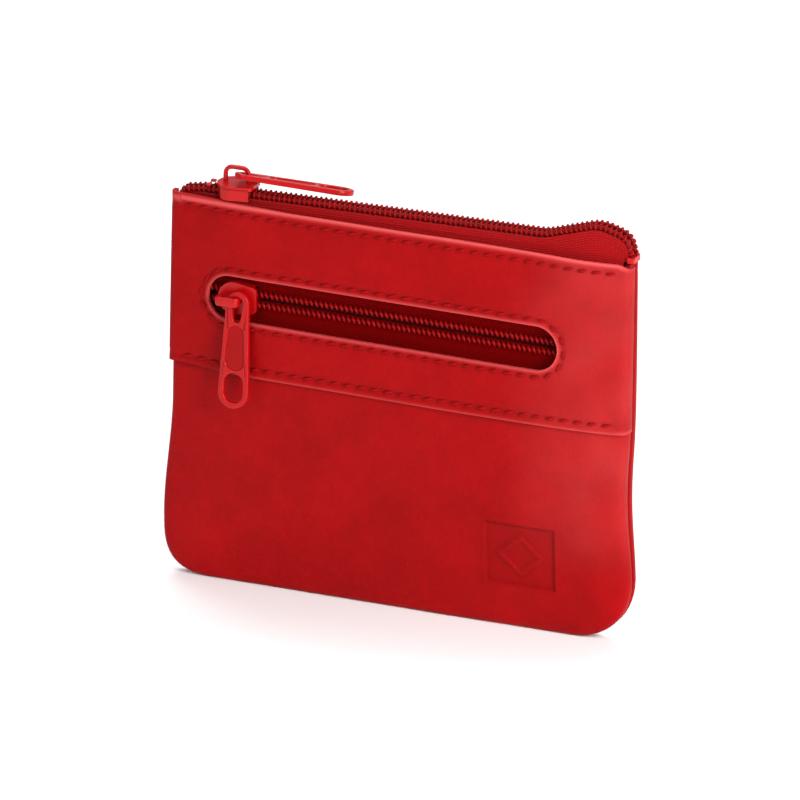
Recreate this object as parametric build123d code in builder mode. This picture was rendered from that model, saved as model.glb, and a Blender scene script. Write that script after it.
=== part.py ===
from build123d import *
import os
from math import cos, exp, pi, radians, sin

os.makedirs("parts", exist_ok=True)

# Zipped leather coin purse. Millimetres, +Z up, +X to the right, the front faces -Y.
# The origin is the middle of the bottom edge that the purse stands on.

# Driving dimensions of the leather envelope
HALF_WIDTH = 54.0  # straight upper sides
HEIGHT = 88.5  # bottom edge to the leather's top edge
FLARE = 1.9  # the lower corners swell past the straight sides
FLARE_TOP = 42.0  # height where that swelling starts
CORNER_RADIUS = 14.0
LEATHER = 1.0
LINING = 0.3
LAYER_GAP = 0.05  # between layers that lie on each other
TAPE_GAP = 0.15  # between the mouth's leather and its zip tapes
HEM_Z = 49.5  # lower edge of the yoke
OVERLAP = 4.0  # the lower front panel runs this far up behind the yoke
WELT_WIDTH = 4.0

# Window in the yoke
WINDOW_Z = 67.1
WINDOW_LEFT = -45.0
WINDOW_RIGHT = 38.0
WINDOW_HEIGHT = 10.2

# Zips, size 3 nylon coil
COIL_INNER = 0.65  # half the gap between the two coils
COIL_OUTER = 2.05  # half the width over both coils
COIL_HALF_THICK = 0.95
TAPE = 0.35

# Sliders and pull tabs
SLIDER_HALF_WIDTH = 3.7
PLATE = 0.8
POST_HALF = 0.35
PULL_THICK = 1.2
PULL_HEAD_R = 2.7
PULL_SLOT_R = 1.4
PULL_END_R = 3.6
PULL_REACH = 20.2  # head centre to end centre
PULL_EYE_WIDTH = 4.6
PULL_EYE_LENGTH = 6.7

# Stitches
STITCH_PITCH = 3.2
STITCH_LENGTH = 2.5
STITCH_THICK = 0.5


# ---------------------------------------------------------------- soft surfaces
def side_half(z):
    """Half thickness at the side seams, fuller at mid height."""
    return 2.1 + 0.8 * sin(pi * min(max(z / HEIGHT, 0.0), 1.0))


def fullness(x, z, lip, belly):
    """How far a panel stands proud of its side seams."""
    across = 1.0 - min(abs(x) / (HALF_WIDTH + 1.0), 1.0) ** 5
    rise = 1.0 - (1.0 - min(max(z / HEIGHT, 0.0), 1.0)) ** 6
    middle = 1.0 - min(max(z / HEIGHT, 0.0), 1.0) ** 4
    return across * rise * (lip + (belly - lip) * middle)


def front_y(x, z):
    """Outer face of the lower front leather; it gapes a little at the mouth's right end."""
    gape = 0.9 * exp(-(((x - 44.0) / 9.0) ** 2)) * max(0.0, (z - 60.0) / (HEIGHT - 60.0)) ** 2
    return -side_half(z) - fullness(x, z, 0.8, 1.9 + 0.025 * x) - gape


def back_y(x, z):
    """Outer face of the back leather."""
    return side_half(z) + fullness(x, z, 0.8, 3.8)


def spline_face(depth, low_z, high_z):
    """The face y = depth(x, z) over the purse's whole width."""
    columns = [-60.0 + 4.0 * i for i in range(31)]
    count = max(4, round((high_z - low_z) / 4.0))
    rows = [low_z + (high_z - low_z) * j / count for j in range(count + 1)]
    points = [[Vector(x, depth(x, z), z) for z in rows] for x in columns]
    return Face.make_surface_from_array_of_points(points, tol=0.01, min_deg=3, max_deg=3)


def layer(depth, start, thickness, low_z=-4.0, high_z=96.0):
    """A sheet that follows the face y = depth(x, z), from start to start + thickness behind it."""
    face = spline_face(depth, low_z, high_z).moved(Location((0, start, 0)))
    return Solid.extrude(face, Vector(0, thickness, 0))


def outline(inset, top):
    """Front view of the purse, drawn in by inset from its edges, cut off at the height top."""
    side = HALF_WIDTH - inset
    radius = CORNER_RADIUS - inset
    with BuildSketch(Plane.XZ) as sketch:
        with BuildLine():
            Line((0, top), (side, top))
            if top > FLARE_TOP:
                Line((side, top), (side, FLARE_TOP))
            Spline(
                (side, FLARE_TOP),
                (side + FLARE, CORNER_RADIUS),
                tangents=[(0, -1), (0, -1)],
            )
            JernArc((side + FLARE, CORNER_RADIUS), (0, -1), radius, -90)
            Line((side + FLARE - radius, inset), (0, inset))
            mirror(about=Plane.YZ)
        make_face()
    return sketch.sketch


def band(low, high, half_width=80.0):
    """Plain rectangle in the front view, from the height low to the height high."""
    with BuildSketch(Plane.XZ) as sketch:
        with Locations((0, (low + high) / 2)):
            Rectangle(2 * half_width, high - low)
    return sketch.sketch


def window_outline(grow):
    """The yoke's stadium-shaped window, larger by grow all round."""
    with BuildSketch(Plane.XZ) as sketch:
        with Locations(((WINDOW_LEFT + WINDOW_RIGHT) / 2, WINDOW_Z)):
            SlotOverall(WINDOW_RIGHT - WINDOW_LEFT + 2 * grow, WINDOW_HEIGHT + 2 * grow)
    return sketch.sketch


def save(part, name):
    part.label = name
    export_step(part, f"parts/{name}.step")


# ---------------------------------------------------------------- leather
with BuildPart() as front_panel:
    extrude(outline(0, HEIGHT), amount=30, both=True)
    extrude(band(-1, HEM_Z + OVERLAP), amount=30, both=True, mode=Mode.INTERSECT)
    add(layer(front_y, 0, LEATHER), mode=Mode.INTERSECT)
save(front_panel.part, "front_panel")

with BuildPart() as front_yoke:
    extrude(outline(0, HEIGHT), amount=30, both=True)
    extrude(band(HEM_Z, HEIGHT + 1), amount=30, both=True, mode=Mode.INTERSECT)
    extrude(window_outline(0), amount=30, both=True, mode=Mode.SUBTRACT)
    add(layer(front_y, -LEATHER, LEATHER - LAYER_GAP), mode=Mode.INTERSECT)
save(front_yoke.part, "front_yoke")

with BuildPart() as back_panel:
    extrude(outline(0, HEIGHT), amount=30, both=True)
    add(layer(back_y, -LEATHER, LEATHER), mode=Mode.INTERSECT)
save(back_panel.part, "back_panel")

# The turned seam allowance runs down both sides and along the bottom, between the leathers.
with BuildPart() as seam_welt:
    extrude(outline(0, HEIGHT), amount=30, both=True)
    extrude(outline(WELT_WIDTH, HEIGHT + 5), amount=30, both=True, mode=Mode.SUBTRACT)
    add(layer(front_y, LEATHER + LAYER_GAP, 40), mode=Mode.INTERSECT)
    add(layer(back_y, -LEATHER - LAYER_GAP, -40), mode=Mode.INTERSECT)
save(seam_welt.part, "seam_welt")

# ---------------------------------------------------------------- linings
LINING_INSET = 7.5
LINING_TOP = 80.0
POCKET_BACK = 3.8  # the pocket's back lining, behind the front leather's outer face
COMPARTMENT_FRONT = POCKET_BACK + LINING + 0.1

with BuildPart() as pocket_lining:
    extrude(outline(LINING_INSET, LINING_TOP), amount=30, both=True)
    extrude(band(18, LINING_TOP), amount=30, both=True, mode=Mode.INTERSECT)
    add(layer(front_y, POCKET_BACK, LINING), mode=Mode.INTERSECT)
save(pocket_lining.part, "pocket_lining")

with BuildPart() as front_lining:
    extrude(outline(LINING_INSET, LINING_TOP), amount=30, both=True)
    add(layer(front_y, COMPARTMENT_FRONT, LINING), mode=Mode.INTERSECT)
save(front_lining.part, "front_lining")

with BuildPart() as back_lining:
    extrude(outline(LINING_INSET, LINING_TOP), amount=30, both=True)
    add(layer(back_y, -LEATHER - LAYER_GAP - LINING, LINING), mode=Mode.INTERSECT)
save(back_lining.part, "back_lining")

# ---------------------------------------------------------------- main zip along the mouth
CHAIN_START_X = -52.6
CHAIN_START_Z = 89.65
CHAIN_LEFT_X = -47.5
CHAIN_LEFT_Z = 90.55
CHAIN_SLOPE = 0.021
HUMP_X = 33.0
HUMP_Z = CHAIN_LEFT_Z + CHAIN_SLOPE * (HUMP_X - CHAIN_LEFT_X)


def chain_line(y, drop=0.0):
    """Middle line of a coil: nearly level, a hump near the right end, then down to the corner."""
    points = [
        (CHAIN_START_X, y, CHAIN_START_Z - drop),
        (CHAIN_LEFT_X, y, CHAIN_LEFT_Z - drop),
        (HUMP_X, y, HUMP_Z - drop),
        (45.5, y, 97.2 - drop),
        (52.4, y, 95.0 - drop),
        (53.3, y, 90.2 - drop),
    ]
    with BuildLine() as path:
        FilletPolyline(*points, radius=[12, 12, 8, 4])
    return path.line


def coil(side):
    """One continuous coil of the main zip, side -1 at the front and +1 at the back."""
    path = chain_line(side * (COIL_INNER + COIL_OUTER) / 2)
    with BuildPart() as strip:
        with BuildSketch(Plane(origin=path @ 0, x_dir=(0, 1, 0), z_dir=path % 0)):
            RectangleRounded(COIL_OUTER - COIL_INNER, 2 * COIL_HALF_THICK, 0.4)
        sweep(path=path)
    return strip.part


save(coil(-1), "top_coil_front")
save(coil(1), "top_coil_back")

TAPE_TOP_DROP = COIL_HALF_THICK + 0.1  # the tape's upper edge, under the coil's middle line
TAPE_LOW_Z = 80.5
TAPE_END_X = 49.3
TAPE_SKIRT = 2.1  # half the distance over both tapes, under the coils


def mouth_blend(z):
    """0 at the leather's top edge and below it, 1 from 1.2 mm above it."""
    share = min(max((z - HEIGHT - 0.1) / 1.2, 0.0), 1.0)
    return share * share * (3 - 2 * share)


def tape_front_y(x, z):
    low = front_y(x, min(z, HEIGHT)) + LEATHER + TAPE_GAP
    return low + (-TAPE_SKIRT - low) * mouth_blend(z)


def tape_back_y(x, z):
    low = back_y(x, min(z, HEIGHT)) - LEATHER - TAPE_GAP
    return low + (TAPE_SKIRT - low) * mouth_blend(z)


def tape_outline():
    """Front view of a mouth tape: its lower edge inside the purse, its upper edge under the coil."""
    with BuildSketch(Plane.XZ) as sketch:
        with BuildLine():
            FilletPolyline(
                (CHAIN_START_X, CHAIN_START_Z - TAPE_TOP_DROP),
                (CHAIN_LEFT_X, CHAIN_LEFT_Z - TAPE_TOP_DROP),
                (HUMP_X, HUMP_Z - TAPE_TOP_DROP),
                (45.5, 97.2 - TAPE_TOP_DROP - 0.15),
                (51.0, 95.3 - TAPE_TOP_DROP),
                radius=[12, 12, 8],
            )
            Polyline(
                (51.0, 95.3 - TAPE_TOP_DROP),
                (51.0, HEIGHT + 0.1),
                (TAPE_END_X, HEIGHT + 0.1),
                (TAPE_END_X, TAPE_LOW_Z),
                (-TAPE_END_X, TAPE_LOW_Z),
                (-TAPE_END_X, HEIGHT + 0.1),
                (CHAIN_START_X, HEIGHT + 0.1),
                (CHAIN_START_X, CHAIN_START_Z - TAPE_TOP_DROP),
            )
        make_face()
    return sketch.sketch


with BuildPart() as top_tape_front:
    extrude(tape_outline(), amount=30, both=True)
    add(layer(tape_front_y, 0, TAPE, low_z=76.0, high_z=100.0), mode=Mode.INTERSECT)
save(top_tape_front.part, "top_tape_front")

with BuildPart() as top_tape_back:
    extrude(tape_outline(), amount=30, both=True)
    add(layer(tape_back_y, 0, -TAPE, low_z=76.0, high_z=100.0), mode=Mode.INTERSECT)
save(top_tape_back.part, "top_tape_back")

# The end stop clamps both coils at the bottom of the hump, in the right corner.
with BuildPart() as top_end_stop:
    with BuildSketch(Plane.XY.offset(88.65)):
        with Locations((53.35, 0)):
            RectangleRounded(1.9, 4.0, 0.4)
    extrude(amount=1.3)
save(top_end_stop.part, "top_end_stop")

with BuildPart() as top_start_stops:
    with BuildSketch(Plane.XY.offset(CHAIN_LEFT_Z + COIL_HALF_THICK + 0.08)):
        with Locations((-46.2, -1.35), (-46.2, 1.35)):
            RectangleRounded(1.2, 1.2, 0.3)
    extrude(amount=0.35)
save(top_start_stops.part, "top_start_stops")

# ---------------------------------------------------------------- pocket zip behind the window
# The chain is straight, so its plane only follows the yoke roughly. WINDOW_PLANE has its x axis
# along the chain and its z axis pointing out of the purse; z = 0 is about the yoke's back face.
WINDOW_SLOPE = 0.015
SLIDER_X = -38.1


def chain_plane(x):
    depth = 3.02 + WINDOW_SLOPE * (x - WINDOW_LEFT)
    return Plane(
        origin=(x, -depth, WINDOW_Z),
        x_dir=(1, -WINDOW_SLOPE, 0),
        z_dir=(-WINDOW_SLOPE, -1, 0),
    )


CHAIN_LEFT = -47.0
CHAIN_RIGHT = 42.0
CHAIN_MIDDLE = (CHAIN_LEFT + CHAIN_RIGHT) / 2
CHAIN_LENGTH = CHAIN_RIGHT - CHAIN_LEFT
COIL_FRONT = -0.15
COIL_BACK = -1.55
TAPE_REACH = 6.8

for side, name in ((1, "upper"), (-1, "lower")):
    with BuildPart() as window_coil:
        with BuildSketch(chain_plane(CHAIN_MIDDLE).offset(COIL_BACK)):
            with Locations((0, side * (COIL_INNER + COIL_OUTER) / 2)):
                Rectangle(CHAIN_LENGTH, COIL_OUTER - COIL_INNER)
        extrude(amount=COIL_FRONT - COIL_BACK)
        fillet(window_coil.edges().filter_by(lambda e: e.length > CHAIN_LENGTH / 2), 0.4)
    save(window_coil.part, f"window_coil_{name}")

    with BuildPart() as window_tape:
        with BuildSketch(chain_plane(CHAIN_MIDDLE).offset(COIL_BACK - TAPE)):
            with Locations((0, side * (COIL_INNER + TAPE_REACH) / 2)):
                Rectangle(CHAIN_LENGTH, TAPE_REACH - COIL_INNER)
        extrude(amount=TAPE)
    save(window_tape.part, f"window_tape_{name}")

with BuildPart() as window_end_stop:
    with BuildSketch(chain_plane(CHAIN_RIGHT + 0.75).offset(-1.5)):
        RectangleRounded(1.2, 4.0, 0.3)
    extrude(amount=1.2)
save(window_end_stop.part, "window_end_stop")

with BuildPart() as window_start_stops:
    with BuildSketch(chain_plane(CHAIN_LEFT - 0.75).offset(-1.5)):
        with Locations((0, -1.35), (0, 1.35)):
            RectangleRounded(1.2, 1.3, 0.3)
    extrude(amount=1.2)
save(window_start_stops.part, "window_start_stops")


# ---------------------------------------------------------------- sliders
def slider_outline(plane):
    """Shield-shaped slider plate: broad and round at its shoulder, narrower at its tail."""
    with BuildSketch(plane) as sketch:
        with Locations((-0.85, 0)):
            Circle(SLIDER_HALF_WIDTH)
        with Locations((3.3, 1.9), (3.3, -1.9)):
            Circle(1.2)
        make_hull()
    return sketch.sketch


def slider_body(plane, plate_low, flange_low, back_low, back_half):
    """Slider: top plate, a flange down each side, and a back plate held by the middle post."""
    back_top = back_low + 0.7
    with BuildPart() as body:
        extrude(slider_outline(plane.offset(plate_low)), amount=PLATE)
        extrude(slider_outline(plane.offset(flange_low)), amount=plate_low - flange_low)
        with BuildSketch(plane.offset(flange_low)):
            Rectangle(20, 6.0)
        extrude(amount=plate_low - flange_low, mode=Mode.SUBTRACT)
        with BuildSketch(plane.offset(back_low)):
            RectangleRounded(8.0, 2 * back_half, 0.6)
        extrude(amount=0.7)
        with BuildSketch(plane.offset(back_top)):
            with Locations((-2.4, 0)):
                RectangleRounded(1.8, 2 * POST_HALF, 0.3)
        extrude(amount=plate_low - back_top)
    return body.part


def bail(plane, left, right, height, limb, roof, foot_half, strap_half):
    """Bridge on a slider's plate: two feet and a strap, open underneath for the pull tab."""
    length = right - left
    side_plane = Plane(origin=plane.origin, x_dir=plane.x_dir, z_dir=-plane.y_dir)
    with BuildPart() as bridge:
        with BuildSketch(side_plane) as arch:
            with Locations(((left + right) / 2, height / 2)):
                Rectangle(length, height)
            fillet(arch.vertices().group_by(Axis.Z)[-1], 1.2)
        extrude(amount=foot_half, both=True)
        with BuildSketch(side_plane) as strap:
            with Locations(((left + right) / 2, height / 2)):
                Rectangle(length, height)
            fillet(strap.vertices().group_by(Axis.Z)[-1], 1.2)
            with Locations(((left + right) / 2, (height - roof) / 2)):
                Rectangle(length + 2, height - roof, mode=Mode.SUBTRACT)
        extrude(amount=strap_half, both=True)
        with BuildSketch(side_plane):
            with Locations(((left + right) / 2, (height - roof) / 2)):
                Rectangle(length - 2 * limb, height - roof)
        extrude(amount=strap_half + 1, both=True, mode=Mode.SUBTRACT)
    return bridge.part


# ---------------------------------------------------------------- pull tabs
def pull_tab(plane):
    """Flat pull tab in the plane's middle: its head is round the origin, its end towards +x."""
    with BuildPart() as tab:
        with BuildSketch(plane.offset(-PULL_THICK / 2)):
            Circle(PULL_HEAD_R)
            with Locations((PULL_REACH, 0)):
                Circle(PULL_END_R)
            make_hull()
        extrude(amount=PULL_THICK)
        with BuildSketch(plane):
            Circle(PULL_SLOT_R)
            with Locations((3.4, 0)):
                Circle(0.9)
            make_hull()
        extrude(amount=PULL_THICK, both=True, mode=Mode.SUBTRACT)
        with BuildSketch(plane):
            with Locations((PULL_REACH - 1.05, 0)):
                SlotOverall(PULL_EYE_LENGTH, PULL_EYE_WIDTH)
        extrude(amount=PULL_THICK, both=True, mode=Mode.SUBTRACT)
        for face_side in (-1, 1):
            with BuildSketch(plane.offset(face_side * (PULL_THICK / 2 - 0.25))):
                with Locations((6.6, 0)):
                    Circle(1.6)
                with Locations((13.2, 0)):
                    Circle(2.0)
                make_hull()
            extrude(amount=face_side * 1.0, mode=Mode.SUBTRACT)
    return tab.part


# Pocket slider, at the window's left end
window_slider_plane = chain_plane(SLIDER_X)
save(slider_body(window_slider_plane, 0.15, -1.25, -2.85, 3.4), "window_slider_body")

FOOT_U = 0.95  # the bail's right foot, which the pull tab hangs on
save(bail(window_slider_plane.offset(0.95), -4.4, 1.5, 3.3, 1.1, 0.85, 0.55, 1.1), "window_slider_bail")

PULL_TILT = 5.5  # degrees; the end stands further out than the head
PULL_YAW = 2.0  # degrees; the tab's plane turns with the belly of the yoke
pull_origin = window_slider_plane.from_local_coords(Vector(FOOT_U, -0.4, 2.45))
pull_down = Vector(0, -sin(radians(PULL_TILT)), -cos(radians(PULL_TILT)))
pull_across = Vector(cos(radians(PULL_YAW)), -sin(radians(PULL_YAW)), 0)
pull_normal = pull_down.cross(pull_across)
window_pull_plane = Plane(origin=pull_origin, x_dir=pull_down, z_dir=pull_normal)
save(pull_tab(window_pull_plane), "window_pull_tab")

# Main slider, at the mouth's left end
TOP_SLIDER_X = -40.0
top_slider_z = CHAIN_LEFT_Z + CHAIN_SLOPE * (TOP_SLIDER_X - CHAIN_LEFT_X)
top_slider_plane = Plane(
    origin=(TOP_SLIDER_X, 0, top_slider_z),
    x_dir=(1, 0, CHAIN_SLOPE),
    z_dir=(-CHAIN_SLOPE, 0, 1),
)
save(slider_body(top_slider_plane, 1.2, -1.2, -2.2, 1.25), "top_slider_body")
save(bail(top_slider_plane.offset(2.0), -3.3, 3.3, 3.9, 1.1, 0.95, 0.5, 0.5), "top_slider_bail")

# The tab lies along the chain and leans over its back, one edge behind the ridge.
TOP_PULL_DROP = 5.5
TOP_PULL_SKEW = 14.0
TOP_PULL_ROLL = 13.0
top_hinge = top_slider_plane.from_local_coords(Vector(0.3, -0.55, 3.85))
top_along = Vector(
    cos(radians(TOP_PULL_DROP)) * cos(radians(TOP_PULL_SKEW)),
    cos(radians(TOP_PULL_DROP)) * sin(radians(TOP_PULL_SKEW)),
    -sin(radians(TOP_PULL_DROP)),
)
top_level = Vector(0, 0, 1).cross(top_along).normalized()
top_side = (top_level * cos(radians(TOP_PULL_ROLL))) + (
    top_along.cross(top_level) * -sin(radians(TOP_PULL_ROLL))
)
top_normal = top_along.cross(top_side)
CROSSBAR = (PULL_HEAD_R + PULL_SLOT_R) / 2
top_pull_plane = Plane(
    origin=top_hinge + top_along * CROSSBAR, x_dir=top_along, z_dir=top_normal
)
save(pull_tab(top_pull_plane), "top_pull_tab")


# ---------------------------------------------------------------- stitching
def stitch_row(places, depth):
    """Separate stitches on the face y = depth(x, z); places lists x, z and the turn in degrees."""
    with BuildPart() as row:
        for x, z, turn in places:
            spot = Plane(
                origin=(x, depth(x, z), z),
                x_dir=(cos(radians(turn)), 0, sin(radians(turn))),
                z_dir=(0, -1, 0),
            )
            with BuildSketch(spot):
                Rectangle(STITCH_LENGTH, STITCH_THICK)
            extrude(amount=STITCH_THICK / 2)
    return row.part


def straight_row(z, half_width):
    count = int(2 * half_width / STITCH_PITCH)
    first = -(count - 1) * STITCH_PITCH / 2
    return [(first + i * STITCH_PITCH, z, 0.0) for i in range(count)]


def stadium_row(margin):
    """Stitches round the window, margin outside its edge."""
    radius = WINDOW_HEIGHT / 2 + margin
    left = WINDOW_LEFT + WINDOW_HEIGHT / 2
    right = WINDOW_RIGHT - WINDOW_HEIGHT / 2
    straight = right - left
    count = round((2 * straight + 2 * pi * radius) / STITCH_PITCH)
    places = []
    for i in range(count):
        run = (2 * straight + 2 * pi * radius) * i / count
        if run < straight:
            places.append((left + run, WINDOW_Z + radius, 0.0))
        elif run < straight + pi * radius:
            angle = pi / 2 - (run - straight) / radius
            x = right + radius * cos(angle)
            places.append((x, WINDOW_Z + radius * sin(angle), angle * 180 / pi - 90))
        elif run < 2 * straight + pi * radius:
            places.append((right - (run - straight - pi * radius), WINDOW_Z - radius, 0.0))
        else:
            angle = -pi / 2 - (run - 2 * straight - pi * radius) / radius
            x = left + radius * cos(angle)
            places.append((x, WINDOW_Z + radius * sin(angle), angle * 180 / pi - 90))
    return places


STITCH_LIFT = 0.1  # clears the leather's curve under a stitch


def yoke_face(x, z):
    return front_y(x, z) - LEATHER - STITCH_LIFT


def back_face(x, z):
    return back_y(x, z) + STITCH_LIFT + STITCH_THICK / 2


MOUTH_ROW_Z = HEIGHT - 2.1
save(stitch_row(straight_row(HEM_Z + 2.0, 51.0), yoke_face), "hem_stitching")
save(stitch_row(stadium_row(1.5), yoke_face), "window_stitching")
save(stitch_row(straight_row(MOUTH_ROW_Z, 51.0), yoke_face), "mouth_stitching_front")
save(stitch_row(straight_row(MOUTH_ROW_Z, 51.0), back_face), "mouth_stitching_back")

# Joint lines, for the record
for name, point, axis in (
    ("top_slider", top_slider_plane.origin, top_slider_plane.x_dir),
    ("top_pull", top_hinge, top_side),
    ("window_slider", window_slider_plane.origin, window_slider_plane.x_dir),
    ("window_pull", pull_origin, window_pull_plane.z_dir),
):
    print(name, [round(v, 4) for v in point], [round(v, 6) for v in axis])
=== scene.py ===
from math import cos, exp, hypot, pi, radians, sin, sqrt

import bmesh
import bpy
from mathutils import Matrix, Vector, noise


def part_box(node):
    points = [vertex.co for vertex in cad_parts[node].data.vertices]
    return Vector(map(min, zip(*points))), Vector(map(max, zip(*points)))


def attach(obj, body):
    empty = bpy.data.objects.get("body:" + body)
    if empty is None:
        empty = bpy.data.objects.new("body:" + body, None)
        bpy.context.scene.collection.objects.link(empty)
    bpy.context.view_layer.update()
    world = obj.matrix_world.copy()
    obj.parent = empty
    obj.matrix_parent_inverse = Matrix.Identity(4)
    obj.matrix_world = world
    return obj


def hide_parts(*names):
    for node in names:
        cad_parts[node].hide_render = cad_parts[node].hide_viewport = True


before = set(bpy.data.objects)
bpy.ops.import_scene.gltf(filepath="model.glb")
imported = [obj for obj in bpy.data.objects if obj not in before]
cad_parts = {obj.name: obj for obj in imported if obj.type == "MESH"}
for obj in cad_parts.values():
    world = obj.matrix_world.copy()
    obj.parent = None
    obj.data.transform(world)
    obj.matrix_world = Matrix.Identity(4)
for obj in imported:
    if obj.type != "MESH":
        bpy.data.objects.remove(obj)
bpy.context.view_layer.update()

# Zipped leather coin purse. Lengths in this script are millimetres in the frame's axes, and
# mesh_piece() turns them into metres. The front faces -Y, and the purse stands on z = 0.
MM = 0.001

# ------------------------------------------------------------------ the purse's dimensions
YOKE_LOW, YOKE_HIGH = (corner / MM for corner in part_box("front_yoke"))
HEIGHT = YOKE_HIGH.z  # the leather's top edge
HEM_Z = YOKE_LOW.z  # lower edge of the yoke
HALF_WIDTH = YOKE_HIGH.x
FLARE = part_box("front_panel")[1].x / MM - HALF_WIDTH
PANEL_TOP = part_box("front_panel")[1].z / MM
FLARE_TOP = 42.0
CORNER_RADIUS = 14.0
LEATHER = 1.0
YOKE_LEFT = 0.7  # the yoke's folded sides stand this far out of the lower panel's
YOKE_RIGHT = 0.15

WINDOW_Z = (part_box("window_tape_upper")[1].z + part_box("window_tape_lower")[0].z) / (2 * MM)
WINDOW_LEFT = -45.0
WINDOW_RIGHT = 38.0
WINDOW_RADIUS = 5.1

STITCH_PITCH = 3.2
HEM_STITCH = 2.0  # stitch lines, in from their edges
MOUTH_STITCH = 2.1
WINDOW_STITCH = 1.5

COIL_PITCH = 1.19


def clamp(value, low=0.0, high=1.0):
    return min(max(value, low), high)


def smooth(value):
    share = clamp(value)
    return share * share * (3 - 2 * share)


def mix(a, b, share):
    return a + (b - a) * share


# ------------------------------------------------------------------ soft surfaces
def half_width(z):
    """Half width of the purse at a height, above its rounded corners."""
    return HALF_WIDTH + FLARE * smooth((FLARE_TOP - z) / (FLARE_TOP - CORNER_RADIUS))


def fullness(x, z, lip, belly):
    height = clamp(z / HEIGHT)
    across = 1.0 - min(abs(x) / (HALF_WIDTH + 1.0), 1.0) ** 5
    return across * (1.0 - (1.0 - height) ** 6) * (lip + (belly - lip) * (1.0 - height**4))


def side_half(z):
    return 2.1 + 0.8 * sin(pi * clamp(z / HEIGHT))


def ripple(x, z, seed):
    """Slow, shallow unevenness of soft leather."""
    broad = noise.noise(Vector((x / 26.0, z / 26.0, seed)))
    narrow = noise.noise(Vector((x / 11.0, z / 13.0, seed + 7.0)))
    return 0.32 * broad + 0.10 * narrow


def front_base(x, z):
    """The front leather's depth in front of the seam plane, without its ripples."""
    upper = max(0.0, (z - 60.0) / (HEIGHT - 60.0)) ** 2
    gape = 0.9 * exp(-(((x - 44.0) / 9.0) ** 2)) * upper
    return side_half(z) + fullness(x, z, 0.8, 1.9 + 0.025 * x) + gape


def back_base(x, z):
    return side_half(z) + fullness(x, z, 0.8, 3.8)


def front_depth(x, z):
    """How far the lower front leather's outer face lies in front of the seam plane."""
    inner = clamp((HALF_WIDTH - abs(x)) / 12.0)
    calm = 1.0 - 0.75 * exp(-(((z - 60.0) / 12.0) ** 2))
    return front_base(x, z) + inner * calm * ripple(x, z, 3.0)


def back_depth(x, z):
    inner = clamp((HALF_WIDTH - abs(x)) / 12.0)
    return back_base(x, z) + inner * ripple(x, z, 21.0)


def window_distance(x, z):
    """Distance outside the window's edge."""
    left = WINDOW_LEFT + WINDOW_RADIUS
    right = WINDOW_RIGHT - WINDOW_RADIUS
    return hypot(x - clamp(x, left, right), z - WINDOW_Z) - WINDOW_RADIUS


def pucker(run):
    """How hard the stitches pull at a run along their row: 1 at a needle hole, less at a thread."""
    return 0.62 + 0.38 * cos(2 * pi * (run / STITCH_PITCH))


def groove(distance, width=0.55, depth=0.22):
    """The channel that a line of stitches pulls into the leather."""
    return depth * exp(-((distance / width) ** 2))


def yoke_depth(x, z):
    """The yoke's outer face, with its stitch channels and the edges that they pull down."""
    rows = groove(z - HEM_Z - HEM_STITCH, 0.7, 0.34) + groove(HEIGHT - MOUTH_STITCH - z, 0.7, 0.26)
    pulled = rows * pucker(x)
    run = x - WINDOW_LEFT - WINDOW_RADIUS + STITCH_PITCH / 2
    pulled += groove(window_distance(x, z) - WINDOW_STITCH, 0.7, 0.32) * pucker(run)
    lift = 0.25 * exp(-(((z - HEM_Z) / 1.0) ** 2)) * sin(x / 7.0)
    return front_depth(x, z) + LEATHER - pulled + 0.4 * max(lift, 0.0)


# ------------------------------------------------------------------ mesh helpers
def link_new(name, data):
    """A new object in the scene."""
    piece = bpy.data.objects.new(name, data)
    bpy.context.scene.collection.objects.link(piece)
    return piece


def smooth_shading(mesh):
    for polygon in mesh.polygons:
        polygon.use_smooth = True


def mesh_piece(name, points, faces):
    """A new object from points in millimetres."""
    mesh = bpy.data.meshes.new(name)
    mesh.from_pydata([Vector(p) * MM for p in points], [], faces)
    mesh.validate()
    mesh.update()
    smooth_shading(mesh)
    return link_new(name, mesh)


def merge_close(piece, distance=0.02):
    work = bmesh.new()
    work.from_mesh(piece.data)
    bmesh.ops.remove_doubles(work, verts=work.verts, dist=distance * MM)
    bmesh.ops.dissolve_degenerate(work, edges=work.edges, dist=0.001 * MM)
    bmesh.ops.recalc_face_normals(work, faces=work.faces)
    work.to_mesh(piece.data)
    work.free()


def grid_faces(rows, columns, closed=False, start=0):
    """Quads of a grid whose points are listed row by row; closed joins each row's ends."""
    faces = []
    for i in range(rows - 1):
        for j in range(columns if closed else columns - 1):
            k = (j + 1) % columns
            a = start + i * columns
            b = a + columns
            faces.append((a + j, a + k, b + k, b + j))
    return faces


def tube_faces(rings, around, start=0):
    """Faces of a tube made of rings of points, with a cap at each end."""
    faces = grid_faces(rings, around, closed=True, start=start)
    last = start + (rings - 1) * around
    faces.append(tuple(start + k for k in reversed(range(around))))
    faces.append(tuple(last + k for k in range(around)))
    return faces


def tangent_at(path, i):
    """Direction of a list of points at its point i."""
    return (path[min(i + 1, len(path) - 1)] - path[max(i - 1, 0)]).normalized()


def weigh(piece, name, value):
    """Stores value(x, z), from 0 to 1, on each vertex for the leather's colour."""
    store = piece.data.attributes.new(name, "FLOAT", "POINT")
    for vert in piece.data.vertices:
        store.data[vert.index].value = clamp(value(vert.co.x / MM, vert.co.z / MM))


def face_outward(piece, y_sign):
    """Turns the mesh's faces so that most of them look along y_sign."""
    total = sum(polygon.normal.y * polygon.area for polygon in piece.data.polygons)
    if total * y_sign < 0:
        piece.data.flip_normals()


def round_edges(piece, width, segments=3, angle=35):
    bevel = piece.modifiers.new("edges", "BEVEL")
    bevel.width = width * MM
    bevel.segments = segments
    bevel.limit_method = "ANGLE"
    bevel.angle_limit = radians(angle)
    bevel.harden_normals = False


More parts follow.
